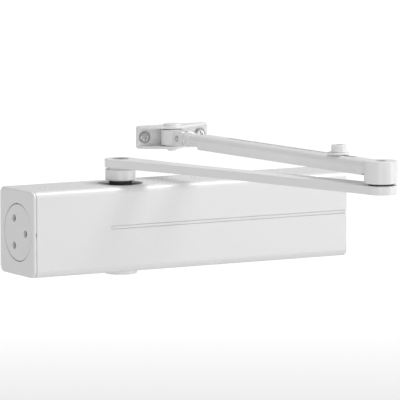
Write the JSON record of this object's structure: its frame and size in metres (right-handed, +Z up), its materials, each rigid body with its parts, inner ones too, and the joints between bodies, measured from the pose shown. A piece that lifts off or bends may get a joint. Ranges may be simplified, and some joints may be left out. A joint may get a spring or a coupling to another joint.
{
  "type": "door closer",
  "caption": "Surface-mounted rack-and-pinion door closer with a box-shaped body, a folding main arm and an adjustable forearm that ends in a swivelling frame bracket.",
  "frame": {"origin": "centre of the four mounting holes in the back plane of the body", "axes": "+X along the body towards the spring end, +Y into the door, square to the back plane, +Z up along the spindle"},
  "size_m": [0.2532, 0.2676, 0.1035],
  "materials": {
    "painted_cover": "smooth satin white powder coat",
    "painted_cast": "satin white paint on turned metal",
    "arm_paint": "satin white powder coat on steel",
    "cast_aluminium": "die-cast, matt",
    "steel": "turned and zinc plated",
    "spring_steel": "oiled spring steel",
    "bronze": "sintered bronze, satin",
    "brass": "turned brass, bright",
    "seal_rubber": "moulded nitrile rubber, matt"
  },
  "bodies": {
    "closer_body": {"housing": "cast_aluminium", "cover": "painted_cover", "left_end_cap": "painted_cover", "right_end_cap": "painted_cover", "left_end_plug": "painted_cast", "right_end_plug": "painted_cast", "plug_seals": "seal_rubber", "top_bearing": "steel", "bottom_bearing": "steel", "shaft_seals": "seal_rubber", "top_bearing_nut": "steel", "bottom_bearing_nut": "steel", "spindle_cap": "painted_cast", "outer_spring": "spring_steel", "inner_spring": "spring_steel"},
    "closing_valve_body": {"closing_valve": "steel"},
    "latching_valve_body": {"latching_valve": "steel"},
    "backcheck_valve_body": {"backcheck_valve": "steel"},
    "tension_screw_body": {"tension_screw": "steel"},
    "spring_seat_body": {"spring_seat": "steel"},
    "piston_body": {"rack_piston": "steel", "piston_seal": "seal_rubber", "check_valve_seat": "brass", "check_ball": "steel"},
    "spindle_body": {"pinion_spindle": "steel", "spindle_collar": "arm_paint", "main_arm": "arm_paint", "arm_screw": "steel", "elbow_pin": "steel", "elbow_washer": "steel"},
    "forearm_body": {"forearm_sleeve": "arm_paint", "elbow_bush": "bronze"},
    "rod_body": {"forearm_rod": "arm_paint", "clamp_washer": "arm_paint"},
    "clamp_bolt_body": {"clamp_bolt": "arm_paint"},
    "knuckle_body": {"knuckle": "arm_paint", "tilt_pin": "steel"},
    "bracket_body": {"bracket": "arm_paint", "bracket_pin": "arm_paint", "bracket_screws": "steel"}
  },
  "joints": [
    {"name": "spindle_turn", "type": "hinge", "parent": "closer_body", "child": "spindle_body", "pos_m": [-0.046, -0.027, 0], "axis": [0, 0, 1], "range_deg": [0, 170], "stiffness_Nm_per_rad": 2, "springref_deg": -85.94},
    {"name": "piston_slide", "type": "slide", "parent": "closer_body", "child": "piston_body", "axis": [1, 0, 0], "range_m": [0, 0.0268], "deforming": ["outer_spring", "inner_spring"]},
    {"name": "closing_valve_turn", "type": "hinge", "parent": "closer_body", "child": "closing_valve_body", "pos_m": [-0.12, -0.038, 0], "axis": [1, 0, 0], "range_deg": [0, 720]},
    {"name": "latching_valve_turn", "type": "hinge", "parent": "closer_body", "child": "latching_valve_body", "pos_m": [-0.12, -0.0215, 0.00953], "axis": [1, 0, 0], "range_deg": [0, 720]},
    {"name": "backcheck_valve_turn", "type": "hinge", "parent": "closer_body", "child": "backcheck_valve_body", "pos_m": [-0.12, -0.0215, -0.00953], "axis": [1, 0, 0], "range_deg": [0, 720]},
    {"name": "tension_screw_turn", "type": "hinge", "parent": "closer_body", "child": "tension_screw_body", "pos_m": [0.11, -0.027, 0], "axis": [1, 0, 0], "range_deg": [0, 2890]},
    {"name": "spring_seat_slide", "type": "slide", "parent": "closer_body", "child": "spring_seat_body", "axis": [-1, 0, 0], "range_m": [0, 0.012]},
    {"name": "elbow_turn", "type": "hinge", "parent": "spindle_body", "child": "forearm_body", "pos_m": [0.02497, -0.25627, 0.055], "axis": [0, 0, 1], "range_deg": [-150, 0]},
    {"name": "forearm_extend", "type": "slide", "parent": "forearm_body", "child": "rod_body", "axis": [-0.0824, 0.9966, 0], "range_m": [0, 0.11]},
    {"name": "clamp_bolt_turn", "type": "hinge", "parent": "rod_body", "child": "clamp_bolt_body", "pos_m": [0.02107, -0.20903, 0.066], "axis": [0, 0, 1], "range_deg": [0, 720]},
    {"name": "forearm_tilt", "type": "hinge", "parent": "rod_body", "child": "knuckle_body", "pos_m": [0.00573, -0.02346, 0.0582], "axis": [-0.9966, -0.0824, 0], "range_deg": [-12, 12]},
    {"name": "bracket_swivel", "type": "hinge", "parent": "knuckle_body", "child": "bracket_body", "pos_m": [0.0047, -0.011, 0.0582], "axis": [0, 0, 1], "range_deg": [-75, 75]}
  ],
  "couplings": [
    {"joint": "piston_slide", "follows": "spindle_turn", "m_per_rad": 0.009},
    {"joint": "tension_screw_turn", "follows": "spring_seat_slide", "rad_per_m": 4188.8}
  ]
}
